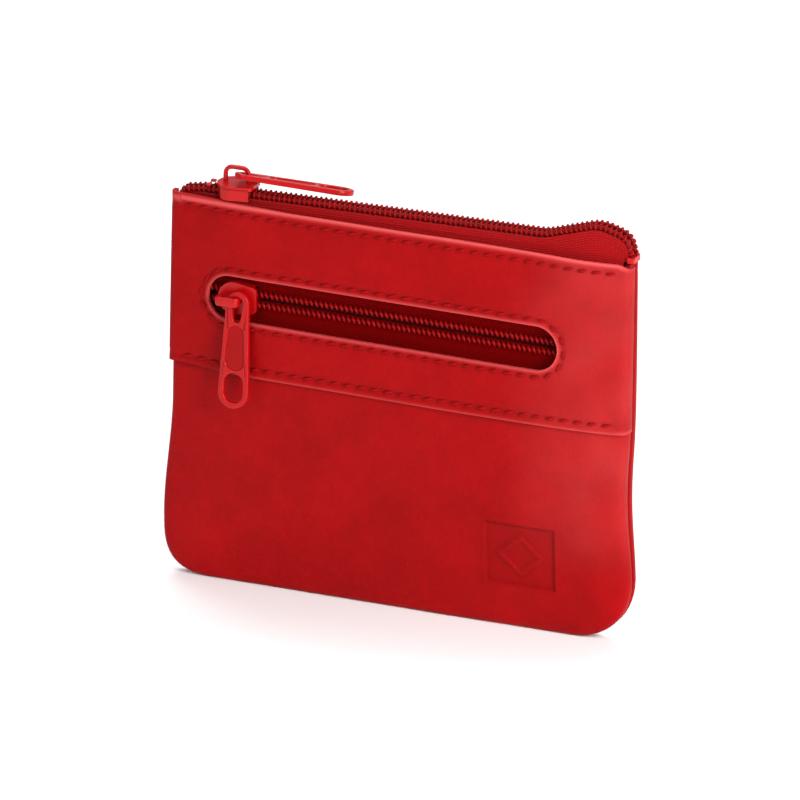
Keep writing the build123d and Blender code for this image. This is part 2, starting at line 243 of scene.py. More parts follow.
def thicken(piece, thickness, rim_round=0.0):
    """Gives a sheet its thickness inwards, and rounds the edges of its rim."""
    solid = piece.modifiers.new("thickness", "SOLIDIFY")
    solid.thickness = thickness * MM
    solid.offset = -1.0
    if rim_round:
        round_edges(piece, rim_round, angle=50)


def settle(piece, body, material, node=None):
    """Gives a piece its material and the body it rides on, and hides the CAD node that it stands for."""
    piece.data.materials.clear()
    piece.data.materials.append(material)
    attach(piece, body)
    if node:
        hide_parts(node)


# ------------------------------------------------------------------ materials
def material_nodes(name):
    material = bpy.data.materials.new(name)
    material.use_nodes = True
    tree = material.node_tree
    shader = tree.nodes["Principled BSDF"]
    return material, tree, shader


def object_coords(tree):
    return tree.nodes.new("ShaderNodeTexCoord").outputs["Object"]


def set_inputs(node, values):
    """Plain values on a node's sockets, by name."""
    for name, value in values.items():
        node.inputs[name].default_value = value


def noise_node(tree, coords, scale, detail=3.0, rough=0.5):
    node = tree.nodes.new("ShaderNodeTexNoise")
    set_inputs(node, {"Scale": scale, "Detail": detail, "Roughness": rough})
    tree.links.new(coords, node.inputs["Vector"])
    return node.outputs["Fac"]


def ramp(tree, fac, dark, light, low=0.3, high=0.7):
    node = tree.nodes.new("ShaderNodeValToRGB")
    node.color_ramp.elements[0].position = low
    node.color_ramp.elements[0].color = (*dark, 1)
    node.color_ramp.elements[1].position = high
    node.color_ramp.elements[1].color = (*light, 1)
    tree.links.new(fac, node.inputs["Fac"])
    return node.outputs["Color"]


def span(tree, fac, low, high):
    """Maps 0..1 to low..high."""
    node = tree.nodes.new("ShaderNodeMapRange")
    set_inputs(node, {"To Min": low, "To Max": high})
    tree.links.new(fac, node.inputs["Value"])
    return node.outputs["Result"]


def bump(tree, height, strength, distance, below=None):
    node = tree.nodes.new("ShaderNodeBump")
    set_inputs(node, {"Strength": strength, "Distance": distance * MM})
    tree.links.new(height, node.inputs["Height"])
    if below is not None:
        tree.links.new(below, node.inputs["Normal"])
    return node.outputs["Normal"]


def named_value(tree, name):
    """A vertex value of the mesh; it is 0 on meshes that don't have it."""
    node = tree.nodes.new("ShaderNodeAttribute")
    node.attribute_name = name
    return node.outputs["Fac"]


def blend_colour(tree, share, base, other):
    """base where share is 0, other where it is 1."""
    node = tree.nodes.new("ShaderNodeMix")
    node.data_type = "RGBA"
    tree.links.new(share, node.inputs["Factor"])
    tree.links.new(base, node.inputs["A"])
    node.inputs["B"].default_value = (*other, 1)
    return node.outputs["Result"]


# Colours blended into the leather by vertex weights: painted shade in the stitch channels and under the
# hem, with the stamp's darker pressed lines, and a painted highlight on edges and the right side.
SHADE_AND_STAMP_RED = (0.14, 0.0008, 0.0014)
PAINTED_HIGHLIGHT_RED = (0.74, 0.105, 0.105)


def leather_material(name, dark, light, roughness=(0.42, 0.56)):
    """Smooth satin cowhide: a fine pebble grain, faint creases and slow changes of tone."""
    material, tree, shader = material_nodes(name)
    coords = object_coords(tree)
    tone = noise_node(tree, coords, 60.0, 9.0, 0.76)
    cloudy = ramp(tree, tone, dark, light)
    # Painted shade and the stamp's lines first, then the painted highlight weight on top.
    shade_and_stamp = blend_colour(tree, named_value(tree, "sunk"), cloudy, SHADE_AND_STAMP_RED)
    painted_highlight = blend_colour(tree, named_value(tree, "painted_highlight"), shade_and_stamp, PAINTED_HIGHLIGHT_RED)
    tree.links.new(painted_highlight, shader.inputs["Base Color"])
    patches = noise_node(tree, coords, 160.0, 4.0, 0.6)
    tree.links.new(span(tree, patches, *roughness), shader.inputs["Roughness"])
    grain = tree.nodes.new("ShaderNodeTexVoronoi")
    grain.feature = "DISTANCE_TO_EDGE"
    grain.inputs["Scale"].default_value = 1500.0
    warp = tree.nodes.new("ShaderNodeVectorMath")
    warp.operation = "ADD"
    soft = tree.nodes.new("ShaderNodeTexNoise")
    soft.inputs["Scale"].default_value = 500.0
    shift = tree.nodes.new("ShaderNodeVectorMath")
    shift.operation = "SCALE"
    shift.inputs["Scale"].default_value = 0.0008
    tree.links.new(coords, soft.inputs["Vector"])
    tree.links.new(soft.outputs["Color"], shift.inputs[0])
    tree.links.new(coords, warp.inputs[0])
    tree.links.new(shift.outputs["Vector"], warp.inputs[1])
    tree.links.new(warp.outputs["Vector"], grain.inputs["Vector"])
    creases = bump(tree, noise_node(tree, coords, 320.0, 6.0, 0.65), 0.46, 0.34)
    pores = bump(tree, grain.outputs["Distance"], 0.30, 0.14, creases)
    tree.links.new(pores, shader.inputs["Normal"])
    shader.inputs["Specular IOR Level"].default_value = 0.07
    shader.inputs["Sheen Weight"].default_value = 0.01
    shader.inputs["Sheen Roughness"].default_value = 0.5
    shader.inputs["Sheen Tint"].default_value = (1.0, 0.55, 0.5, 1)
    return material


def cloth_material(name, dark, light, pitches, sheen=0.25):
    """Woven or knitted tape: ribs along the strip and rows across it, from the piece's UVs in mm."""
    material, tree, shader = material_nodes(name)
    uv = tree.nodes.new("ShaderNodeTexCoord").outputs["UV"]
    coords = object_coords(tree)
    rib, across = pitches
    bands = []
    for direction, pitch in (("X", across), ("Y", rib)):
        wave = tree.nodes.new("ShaderNodeTexWave")
        wave.bands_direction = direction
        set_inputs(wave, {"Scale": 1.0 / pitch / 3.2, "Distortion": 0.6, "Detail Scale": 2.0})
        tree.links.new(uv, wave.inputs["Vector"])
        bands.append(wave.outputs["Fac"])
    weave = tree.nodes.new("ShaderNodeMath")
    weave.operation = "MULTIPLY"
    tree.links.new(bands[0], weave.inputs[0])
    tree.links.new(bands[1], weave.inputs[1])
    tree.links.new(ramp(tree, weave.outputs["Value"], dark, light, 0.05, 0.8), shader.inputs["Base Color"])
    fuzz = bump(tree, noise_node(tree, coords, 1500.0, 4.0), 0.55, 0.16)
    tree.links.new(bump(tree, weave.outputs["Value"], 0.7, 0.14, fuzz), shader.inputs["Normal"])
    shader.inputs["Roughness"].default_value = 0.85
    shader.inputs["Specular IOR Level"].default_value = 0.2 * min(1.0, 4 * sheen)
    shader.inputs["Sheen Weight"].default_value = sheen
    shader.inputs["Sheen Roughness"].default_value = 0.4
    shader.inputs["Sheen Tint"].default_value = (1.0, 0.5, 0.48, 1)
    return material


def nylon_material(name, dark, light):
    material, tree, shader = material_nodes(name)
    coords = object_coords(tree)
    tone = noise_node(tree, coords, 900.0, 2.0)
    tree.links.new(ramp(tree, tone, dark, light), shader.inputs["Base Color"])
    tree.links.new(span(tree, tone, 0.34, 0.48), shader.inputs["Roughness"])
    shader.inputs["Specular IOR Level"].default_value = 0.10
    tree.links.new(bump(tree, noise_node(tree, coords, 3000.0, 2.0), 0.1, 0.03), shader.inputs["Normal"])
    return material


def enamel_material(name, dark, light, gloss=0.3):
    """Red enamel baked on die-cast zinc: glossy, slightly uneven, with a clear skin."""
    material, tree, shader = material_nodes(name)
    coords = object_coords(tree)
    tone = noise_node(tree, coords, 350.0, 4.0, 0.6)
    tree.links.new(ramp(tree, tone, dark, light), shader.inputs["Base Color"])
    tree.links.new(span(tree, tone, 0.26, 0.34), shader.inputs["Roughness"])
    dents = bump(tree, noise_node(tree, coords, 260.0, 2.0), 0.05, 0.10)
    pits = bump(tree, noise_node(tree, coords, 4200.0, 2.0), 0.05, 0.02, dents)
    tree.links.new(pits, shader.inputs["Normal"])
    shader.inputs["Specular IOR Level"].default_value = gloss
    shader.inputs["Coat Weight"].default_value = 0.5 * gloss
    shader.inputs["Coat Roughness"].default_value = 0.15
    return material


def thread_material(name, dark, light):
    """Twisted thread."""
    material, tree, shader = material_nodes(name)
    coords = object_coords(tree)
    twist = tree.nodes.new("ShaderNodeTexWave")
    twist.bands_direction = "DIAGONAL"
    set_inputs(twist, {"Scale": 900.0, "Distortion": 1.0})
    tree.links.new(coords, twist.inputs["Vector"])
    tree.links.new(ramp(tree, twist.outputs["Fac"], dark, light, 0.1, 0.9), shader.inputs["Base Color"])
    tree.links.new(bump(tree, twist.outputs["Fac"], 0.5, 0.06), shader.inputs["Normal"])
    set_inputs(shader, {"Roughness": 0.7, "Specular IOR Level": 0.1})
    return material


LEATHER_LOOK = leather_material("leather_red", (0.24, 0.0006, 0.0014), (0.35, 0.0016, 0.0028))
# A darker copy of the leather for the seam allowance: painted shade in the side groove.
GROOVE_SHADE_LOOK = leather_material("leather_seam_shade_red", (0.13, 0.002, 0.003), (0.19, 0.003, 0.004), (0.6, 0.75))
KNIT = (0.55, 0.42)  # pitch of the tape's ribs, and of the rows across it
WEAVE = (0.30, 0.30)
TAPE_LOOK = cloth_material("knitted_tape_red", (0.22, 0.0012, 0.002), (0.46, 0.006, 0.008), KNIT, 0.12)
# A darker copy of the knitted tape for the window's tapes: painted shade inside the window.
SHADED_TAPE_LOOK = cloth_material(
    "knitted_tape_shaded_red", (0.12, 0.0004, 0.0006), (0.24, 0.0009, 0.0013), KNIT, 0.02
)
LINING_LOOK = cloth_material("lining_dark_red", (0.10, 0.002, 0.003), (0.20, 0.005, 0.007), WEAVE)
COIL_LOOK = nylon_material("nylon_coil_red", (0.18, 0.0008, 0.0012), (0.28, 0.0016, 0.0024))
CORE_LOOK = nylon_material("coil_filler_red", (0.15, 0.0005, 0.0008), (0.20, 0.0008, 0.0012))
# The enamel's red, a little lighter so that the pull tabs' rims carry a painted highlight; the tabs' sunk
# inlays take a darker copy of it as painted shade.
ENAMEL_LOOK = enamel_material("enamel_red", (0.40, 0.0014, 0.0024), (0.43, 0.0018, 0.0030), 0.22)
RECESS_SHADE_LOOK = enamel_material("enamel_recess_shade_red", (0.29, 0.0006, 0.0012), (0.32, 0.0008, 0.0016), 0.12)
THREAD_LOOK = thread_material("thread_red", (0.20, 0.0008, 0.0014), (0.34, 0.0020, 0.0030))


# ------------------------------------------------------------------ leather panels
# The folded side of a panel, from the seam to its face: distance in from the outline, and the
# share of the panel's depth there.
FOLD = (
    (1.00, 0.13),
    (0.40, 0.15),
    (0.10, 0.20),
    (0.00, 0.32),
    (0.02, 0.50),
    (0.12, 0.68),
    (0.40, 0.85),
    (0.85, 0.94),
    (1.50, 0.985),
    (2.40, 1.0),
)


def right_width(z):
    """The right side is straighter, and drawn in a little below the hem."""
    drawn = 0.9 * exp(-(((z - 30.0) / 14.0) ** 2))
    return HALF_WIDTH + 0.55 * (half_width(z) - HALF_WIDTH) - drawn


def side_run(inset, top, top_rows, side_count, corner_count, squareness, width):
    """From the top edge down one side and round its lower corner, drawn in by inset."""
    radius = max(CORNER_RADIUS - inset, 3.0)
    start = top - top_rows[-1]
    points = [(width(top - row) - inset, top - row) for row in top_rows]
    for i in range(1, side_count + 1):
        z = mix(start, inset + radius, i / side_count)
        points.append((width(z) - inset, z))
    middle = points[-1][0] - radius
    for i in range(1, corner_count + 1):
        angle = (pi / 2) * i / corner_count
        x = middle + radius * max(cos(angle), 0.0) ** squareness
        points.append((x, inset + radius - radius * sin(angle) ** squareness))
    return points


SQUARE_LEFT = 0.62  # the left corner is tighter than a quarter circle
SQUARE_RIGHT = 0.95


def u_loop(inset, top, top_rows, side_count, corner_count, bottom_count):
    """One U: down the right side, along the bottom and up the left side."""
    right = side_run(inset, top, top_rows, side_count, corner_count, SQUARE_RIGHT, right_width)
    left = side_run(inset, top, top_rows, side_count, corner_count, SQUARE_LEFT, half_width)
    left = [(-x, z) for x, z in left]
    bottom = []
    for i in range(1, 2 * bottom_count):
        bottom.append((mix(right[-1][0], left[-1][0], i / (2 * bottom_count)), inset))
    return right + bottom + left[::-1]


def panel_sheet(name, depth, y_sign, top, top_rows):
    """A panel: U-shaped loops round its folded sides and bottom, and a grid inside them."""
    side_count, corner_count, bottom_count, ring_count = 44, 14, 42, 12
    deepest = 12.0
    rings = [mix(FOLD[-1][0], deepest, i / ring_count) for i in range(1, ring_count + 1)]
    insets = [d for d, share in FOLD] + rings
    shares = [share for d, share in FOLD] + [1.0] * ring_count
    points = []
    for inset, share in zip(insets, shares):
        loop = u_loop(inset, top, top_rows, side_count, corner_count, bottom_count)
        columns = len(loop)
        for x, z in loop:
            points.append((x, y_sign * depth(x, z) * share, z))
    faces = grid_faces(len(insets), columns)
    start = len(points)
    width = 2 * bottom_count + 1
    rows = len(top_rows) + side_count + corner_count
    for right, left in zip(loop[:rows], loop[::-1][:rows]):
        for k in range(width):
            x = mix(right[0], left[0], k / (width - 1))
            z = mix(right[1], left[1], k / (width - 1))
            points.append((x, y_sign * depth(x, z), z))
    faces += grid_faces(rows, width, start=start)
    piece = mesh_piece(name, points, faces)
    merge_close(piece)
    face_outward(piece, y_sign)
    return piece


def deboss(piece, centre_x, centre_z, width, height):
    """Presses a plain generic stamp into the leather: a sunken square with a raised lozenge."""
    work = bmesh.new()
    work.from_mesh(piece.data)
    reach_x = width / 2 + 2.0
    reach_z = height / 2 + 2.0
    for cuts in (1, 2):
        near = set()
        for face in work.faces:
            c = face.calc_center_median() / MM
            if abs(c.x - centre_x) < reach_x and abs(c.z - centre_z) < reach_z:
                near.update(face.edges)
        bmesh.ops.subdivide_edges(work, edges=list(near), cuts=cuts, use_grid_fill=True)
    for vert in work.verts:
        x = vert.co.x / MM - centre_x
        z = vert.co.z / MM - centre_z
        inside = min(width / 2 - abs(x), height / 2 - abs(z))
        if inside > -1.5:
            lozenge = abs(x) / (width * 0.30) + abs(z) / (height * 0.30)
            ridge = exp(-(((lozenge - 1.0) / 0.16) ** 2))
            sunk = 0.5 * smooth((inside + 0.25) / 0.6) - 0.32 * ridge * smooth((inside - 0.8) / 0.6)
            lip = -0.07 * exp(-(((inside + 0.55) / 0.4) ** 2))
            vert.co.y += (sunk + lip) * MM
    work.to_mesh(piece.data)
    work.free()
    smooth_shading(piece.data)


def lower_depth(x, z):
    """The lower front leather, pressed back a little where the yoke's hem is sewn onto it."""
    return front_depth(x, z) - 0.12 * smooth((z - HEM_Z) / 1.5)


STAMP_X = 29.6
STAMP_Z = 17.6
STAMP_WIDTH = 16.2
STAMP_HEIGHT = 14.4


def right_side_highlight(x, z):
    """Painted highlight: the right side made lighter, in soft patches."""
    patch = 0.75 + 0.5 * noise.noise(Vector((x / 9.0, z / 9.0, 40.0)))
    return 0.15 * patch * smooth((x - 22.0) / 26.0) * smooth((z - 12.0) / 20.0)


def front_shade_and_stamp(x, z):
    """Painted shadow under the yoke's hem, and darker lines along the stamp's pressed border and lozenge.
    """
    dx, dz = abs(x - STAMP_X), abs(z - STAMP_Z)
    inside = min(STAMP_WIDTH / 2 - dx, STAMP_HEIGHT / 2 - dz)
    lozenge = dx / (STAMP_WIDTH * 0.30) + dz / (STAMP_HEIGHT * 0.30)
    line = 0.34 * exp(-(((inside - 0.2) / 0.45) ** 2)) + 0.12 * smooth(inside / 0.6)
    mark = 0.20 * exp(-(((abs(lozenge - 1.0) - 0.30) / 0.12) ** 2)) * smooth(inside / 0.4)
    return line + mark + 0.45 * exp(-(((HEM_Z - z) / 0.5) ** 2))


front_leather = panel_sheet("front_leather", lower_depth, -1, PANEL_TOP, (0.0, 0.4, 1.0, 2.0, 3.0))
deboss(front_leather, STAMP_X, STAMP_Z, STAMP_WIDTH, STAMP_HEIGHT)
# Vertex weights for the leather's colour: painted shadow under the hem with the stamp's darker lines, and
# the right side's painted highlight.
weigh(front_leather, "sunk", front_shade_and_stamp)
weigh(front_leather, "painted_highlight", right_side_highlight)
thicken(front_leather, 0.9, 0.2)
settle(front_leather, "purse", LEATHER_LOOK, "front_panel")


def back_face_depth(x, z):
    return back_depth(x, z) - groove(HEIGHT - MOUTH_STITCH - z)


MOUTH_ROWS = (0.0, 0.3, 0.7, 1.1, 1.5, 1.8, 2.1, 2.4, 2.8, 3.3, 4.0, 5.0)
back_leather = panel_sheet("back_leather", back_face_depth, 1, HEIGHT, MOUTH_ROWS)
thicken(back_leather, 0.9, 0.3)
settle(back_leather, "purse", LEATHER_LOOK, "back_panel")


def edge_line(x, z):
    """Where a point of the yoke really lies: its edges rise at the left, and one corner is rounded."""
    drop = 0.8 * smooth((x - 50.6) / 4.2) * smooth((z - HEIGHT + 6.0) / 6.0)
    lip = 0.9 * smooth((-x - 24.0) / 26.0) * smooth((z - HEIGHT + 9.0) / 9.0)
    hem = 0.9 * smooth((-x - 36.0) / 16.0) * smooth((HEM_Z + 7.0 - z) / 7.0)
    return z - drop + lip + hem


SIDE_SHARE = 0.45  # the yoke's loops lie closer together beside the window's ends


def yoke_sheet():
    """The yoke: loops from the window's edge out to a rectangle, and a folded strip at each side."""
    side_left = HALF_WIDTH + YOKE_LEFT - FOLD[-1][0]
    side_right = HALF_WIDTH + YOKE_RIGHT - FOLD[-1][0]
    straight_left = WINDOW_LEFT + WINDOW_RADIUS
    straight_right = WINDOW_RIGHT - WINDOW_RADIUS
    long_count, near_count, far_count, end_count = 124, 12, 30, 36

    def rectangle(t_side, share, inset):
        left, right = -side_left + SIDE_SHARE * inset, side_right - SIDE_SHARE * inset
        low, high = HEM_Z + inset, HEIGHT - inset
        if t_side == "top":
            return (mix(left, right, share), high)
        if t_side == "right":
            return (right, mix(high, low, share))
        if t_side == "bottom":
            return (mix(right, left, share), low)
        return (left, mix(low, high, share))

    def x_share(x):
        return (x + side_left) / (side_left + side_right)

    first, last = x_share(straight_left), x_share(straight_right)
    # side of the rectangle, shares along it, part of the window's edge, angles or places on it
    runs = (
        ("top", 0, first, "left", 3 * pi / 4, pi / 2, near_count),
        ("top", first, last, "line", straight_left, straight_right, long_count),
        ("top", last, 1, "right", pi / 2, pi / 4, far_count),
        ("right", 0, 1, "right", pi / 4, -pi / 4, end_count),
        ("bottom", 0, 1 - last, "right", -pi / 4, -pi / 2, far_count),
        ("bottom", 1 - last, 1 - first, "under", straight_right, straight_left, long_count),
        ("bottom", 1 - first, 1, "left", 3 * pi / 2, 5 * pi / 4, near_count),
        ("left", 0, 1, "left", 5 * pi / 4, 3 * pi / 4, end_count),
    )
    samples = []
    for edge, share_a, share_b, kind, value_a, value_b, count in runs:
        for i in range(count):
            part = i / count
            samples.append((edge, mix(share_a, share_b, part), kind, mix(value_a, value_b, part)))

    def window(kind, value, outset):
        radius = WINDOW_RADIUS + outset
        if kind == "line":
            return (value, WINDOW_Z + radius)
        if kind == "under":
            return (value, WINDOW_Z - radius)
        centre = straight_left if kind == "left" else straight_right
        return (centre + radius * cos(value), WINDOW_Z + radius * sin(value))

    inner = (0.0, 0.25, 0.5, 0.8, 1.1, 1.35, 1.5, 1.7, 2.0, 2.4, 3.0, 3.8)
    outer = (5.0, 3.8, 3.0, 2.6, 2.3, 2.05, 1.8, 1.5, 1.1, 0.7, 0.35, 0.12, 0.0)
    between = 7
    loops = [[window(kind, value, d) for _, _, kind, value in samples] for d in inner]
    first_outer = [rectangle(edge, share, outer[0]) for edge, share, _, _ in samples]
    for i in range(1, between + 1):
        part = i / (between + 1)
        pairs = zip(loops[len(inner) - 1], first_outer)
        loops.append([(mix(a[0], b[0], part), mix(a[1], b[1], part)) for a, b in pairs])
    for d in outer:
        loops.append([rectangle(edge, share, d) for edge, share, _, _ in samples])
    points = [(x, -yoke_depth(x, z), edge_line(x, z)) for loop in loops for x, z in loop]
    columns = len(samples)
    faces = grid_faces(len(loops), columns, closed=True)
    rows = [mix(HEIGHT, HEM_Z, i / end_count) for i in range(end_count + 1)]
    for sign in (-1, 1):
        start = len(points)
        for z in rows:
            for d, share in reversed(FOLD):
                reach = YOKE_LEFT if sign < 0 else YOKE_RIGHT
                x = sign * (HALF_WIDTH + reach - d)
                points.append((x, -yoke_depth(x, z) * share, edge_line(x, z)))
        faces += grid_faces(len(rows), len(FOLD), start=start)
    piece = mesh_piece("front_yoke_leather", points, faces)
    merge_close(piece)
    face_outward(piece, -1)
    return piece


# Painted highlight along the yoke's top edge, hem and window edge, plus the right side's painted highlight.
def yoke_edge_highlight(x, z):
    edges = 0.75 * exp(-(((HEIGHT - z) / 0.55) ** 2)) + 0.30 * exp(-(((z - HEM_Z) / 0.4) ** 2))
    edges += right_side_highlight(x, z)
    return edges + 0.45 * exp(-((window_distance(x, z) / 0.5) ** 2))


# Painted shade in the stitch channels along the hem, the mouth and the window.
def yoke_channel_shade(x, z):
    rows = groove(z - HEM_Z - HEM_STITCH, 0.5, 0.30) + groove(HEIGHT - MOUTH_STITCH - z, 0.5, 0.22)
    return rows + groove(window_distance(x, z) - WINDOW_STITCH, 0.5, 0.30)


yoke_leather = yoke_sheet()
# Vertex weights for the leather's colour: painted highlight on the edges, painted shade in the stitch
# channels.
weigh(yoke_leather, "painted_highlight", yoke_edge_highlight)
weigh(yoke_leather, "sunk", yoke_channel_shade)
thicken(yoke_leather, 0.9, 0.32)
settle(yoke_leather, "purse", LEATHER_LOOK, "front_yoke")


def seam_cord():
    """The seam allowance between the folded edges; its darker leather is painted shade at the bottom of the
    side groove.
    """
    loop = [Vector((x, 0, z)) for x, z in u_loop(1.5, HEIGHT - 0.6, (0.0, 1.0), 40, 14, 40)]
    half_wide, half_deep, around = 1.0, 1.4, 10
    points = []
    for i, spot in enumerate(loop):
        across = tangent_at(loop, i).cross(Vector((0, 1, 0)))
        for k in range(around):
            angle = 2 * pi * k / around
            points.append(spot + across * (half_wide * cos(angle)) + Vector((0, half_deep * sin(angle), 0)))
    faces = tube_faces(len(loop), around)
    piece = mesh_piece("seam_allowance", points, faces)
    merge_close(piece, 0.005)
    return piece


seam = seam_cord()
settle(seam, "purse", GROOVE_SHADE_LOOK, "seam_welt")


# ------------------------------------------------------------------ tubes and joined pieces
def paint_uv(piece, coords):
    """One UV pair, in millimetres along and across the strip, for each vertex."""
    layer = piece.data.uv_layers.new(name="strip")
    for loop in piece.data.loops:
        layer.data[loop.index].uv = coords[loop.vertex_index]


def tube_points(path, around, radius):
    """Rings of a round tube along path; radius is a number or a function of 0..1."""
    points = []
    side = tangent_at(path, 0).orthogonal()
    for i, spot in enumerate(path):
        tangent = tangent_at(path, i)
        side = (side - tangent * side.dot(tangent)).normalized()
        other = tangent.cross(side)
        r = radius(i / (len(path) - 1)) if callable(radius) else radius
        for k in range(around):
            angle = 2 * pi * k / around
            points.append(spot + side * (r * cos(angle)) + other * (r * sin(angle)))
    return points


def tubes(name, paths, around, radius):
    """One mesh of closed tubes, one along each path."""
    points = []
    faces = []
    for path in paths:
        faces += tube_faces(len(path), around, start=len(points))
        points += tube_points(path, around, radius)
    return mesh_piece(name, points, faces)


def join_pieces(name, pieces):
    """Applies each piece's modifiers and makes one mesh of them all."""
    bpy.context.view_layer.update()
    graph = bpy.context.evaluated_depsgraph_get()
    work = bmesh.new()
    for piece in pieces:
        mesh = bpy.data.meshes.new_from_object(piece.evaluated_get(graph))
        work.from_mesh(mesh)
        bpy.data.meshes.remove(mesh)
    for piece in pieces:
        bpy.data.objects.remove(piece, do_unlink=True)
    mesh = bpy.data.meshes.new(name)
    work.to_mesh(mesh)
    work.free()
    return link_new(name, mesh)


# ------------------------------------------------------------------ stitching
STITCH_HALF = 1.1
STITCH_SLANT = 10.0


def straight_row(z, half_length):
    count = int(2 * half_length / STITCH_PITCH)
    first = -(count - 1) * STITCH_PITCH / 2
    return [(first + i * STITCH_PITCH, z, 0.0) for i in range(count)]


def stadium_row(margin):
    """Stitch places round the window, margin outside its edge."""
    radius = WINDOW_RADIUS + margin
    left = WINDOW_LEFT + WINDOW_RADIUS
    right = WINDOW_RIGHT - WINDOW_RADIUS
    straight = right - left
    total = 2 * straight + 2 * pi * radius
    count = round(total / STITCH_PITCH)

    def on_end(centre, angle):
        x = centre + radius * cos(angle)
        return (x, WINDOW_Z + radius * sin(angle), angle - pi / 2)

    places = []
    for i in range(count):
        run = total * i / count
        if run < straight:
            places.append((left + run, WINDOW_Z + radius, 0.0))
        elif run < straight + pi * radius:
            places.append(on_end(right, pi / 2 - (run - straight) / radius))
        elif run < 2 * straight + pi * radius:
            places.append((right - (run - straight - pi * radius), WINDOW_Z - radius, 0.0))
        else:
            places.append(on_end(left, -pi / 2 - (run - 2 * straight - pi * radius) / radius))
    return places


def stitch_row(name, places, depth, y_sign, node):
    """Threads that dive into the leather at both ends."""
    threads = []
    for x, z, turn in places:
        lean = turn + radians(STITCH_SLANT)
        along = Vector((cos(lean), 0, sin(lean)))
        line = []
        for i in range(9):
            t = i / 4 - 1.0
            spot = Vector((x, 0, z)) + along * (STITCH_HALF * t)
            proud = 0.16 - 0.42 * abs(t) ** 3
            spot.y = y_sign * (depth(spot.x, spot.z) + proud)
            if y_sign < 0:
                spot.z = edge_line(spot.x, spot.z)
            line.append(spot)
        threads.append(line)
    row = tubes(name, threads, 8, lambda t: 0.29 * (1 - (2 * t - 1) ** 4) ** 0.5 + 0.04)
    settle(row, "purse", THREAD_LOOK, node)


stitch_row("hem_threads", straight_row(HEM_Z + HEM_STITCH, 51.5), yoke_depth, -1, "hem_stitching")
stitch_row("window_threads", stadium_row(WINDOW_STITCH), yoke_depth, -1, "window_stitching")
MOUTH_ROW = straight_row(HEIGHT - MOUTH_STITCH, 51.5)
stitch_row("mouth_threads_front", MOUTH_ROW, yoke_depth, -1, "mouth_stitching_front")
stitch_row("mouth_threads_back", MOUTH_ROW, back_face_depth, 1, "mouth_stitching_back")

# ------------------------------------------------------------------ coils
COIL_NEAR = 0.42  # the coil's loops, from the chain's middle outwards
COIL_FAR = 2.05
COIL_MIDDLE = (COIL_NEAR + COIL_FAR) / 2
WIRE = 0.30
WIRE_LEAN = 0.16  # how far a turn leans along the chain, as a share of the pitch
TURN_STEPS = 14


def helix(centres, lateral, half_high, side):
    """Points of a flattened coil along centres, which are TURN_STEPS to a turn."""
    middle = side * COIL_MIDDLE
    phase = pi if side > 0 else 0.0
    half_wide = (COIL_FAR - COIL_NEAR) / 2 - WIRE
    path = []
    for i, centre in enumerate(centres):
        tangent = tangent_at(centres, i)
        up = tangent.cross(lateral).normalized()
        angle = 2 * pi * i / TURN_STEPS + phase
        lean = WIRE_LEAN * COIL_PITCH * sin(angle)
        spot = centre + lateral * (middle + half_wide * cos(angle)) + up * (half_high * sin(angle))
        path.append(spot + tangent * lean)
    return path


def evenly(points, step):
    """The polyline's points, respaced to equal steps."""
    runs = [(b - a).length for a, b in zip(points, points[1:])]
    total = sum(runs)
    count = int(total / step)
    spaced = []
    index = 0
    passed = 0.0
    for i in range(count + 1):
        want = total * i / count
        while index < len(runs) - 1 and passed + runs[index] < want:
            passed += runs[index]
            index += 1
        spaced.append(points[index].lerp(points[index + 1], clamp((want - passed) / runs[index])))
    return spaced


def filleted(corners, radii, steps=10):
    """A route with each inner corner rounded by an arc of that radius."""
    points = [corners[0]]
    for before, corner, after, radius in zip(corners, corners[1:], corners[2:], radii):
        a = (before - corner).normalized()
        b = (after - corner).normalized()
        half = a.angle(b) / 2
        reach = radius / (sin(half) / cos(half))
        middle = corner + (a + b).normalized() * (radius / sin(half))
        start = (corner + a * reach - middle).normalized()
        end = (corner + b * reach - middle).normalized()
        for i in range(steps + 1):
            points.append(middle + start.slerp(end, i / steps) * radius)
    points.append(corners[-1])
    return points


class Place:
    """A local frame: u along, v across, o outwards."""

    def __init__(self, origin, along, out):
        self.origin = Vector(origin)
        self.u = Vector(along).normalized()
        self.o = Vector(out).normalized()
        self.v = self.o.cross(self.u)

    def at(self, u, v, o):
        return self.origin + self.u * u + self.v * v + self.o * o


CHAIN_SLOPE_Y = 0.015
CHAIN_LEFT = -47.0
CHAIN_RIGHT = 42.0


def chain_place(x):
    depth = 3.02 + CHAIN_SLOPE_Y * (x - WINDOW_LEFT)
    return Place((x, -depth, WINDOW_Z), (1, -CHAIN_SLOPE_Y, 0), (-CHAIN_SLOPE_Y, -1, 0))


def wind_coil(zone, level, node, side, line, lateral, half_high, core_radius, core_step):
    """One side of a chain: the wound wire, and the filler cord inside it."""
    wound = tubes(f"{zone}_coil_wire_{level}", [helix(line, lateral, half_high, side)], 6, WIRE)
    core_line = [p + lateral * (side * COIL_MIDDLE) for p in line[::core_step] + [line[-1]]]
    core = tubes(f"{zone}_coil_core_{level}", [core_line], 8, core_radius)
    settle(wound, "purse", COIL_LOOK, node)
    settle(core, "purse", CORE_LOOK)


COIL_DEPTH = -0.85  # the window coil's middle, behind the chain's plane
window_place = chain_place(0.0)
window_ends = [window_place.at(u, 0, COIL_DEPTH) for u in (CHAIN_LEFT, CHAIN_RIGHT)]
window_line = evenly(window_ends, COIL_PITCH / TURN_STEPS)
for side, level in ((1, "upper"), (-1, "lower")):
    wind_coil("window", level, f"window_coil_{level}", side, window_line, window_place.v, 0.43, 0.22, 60)

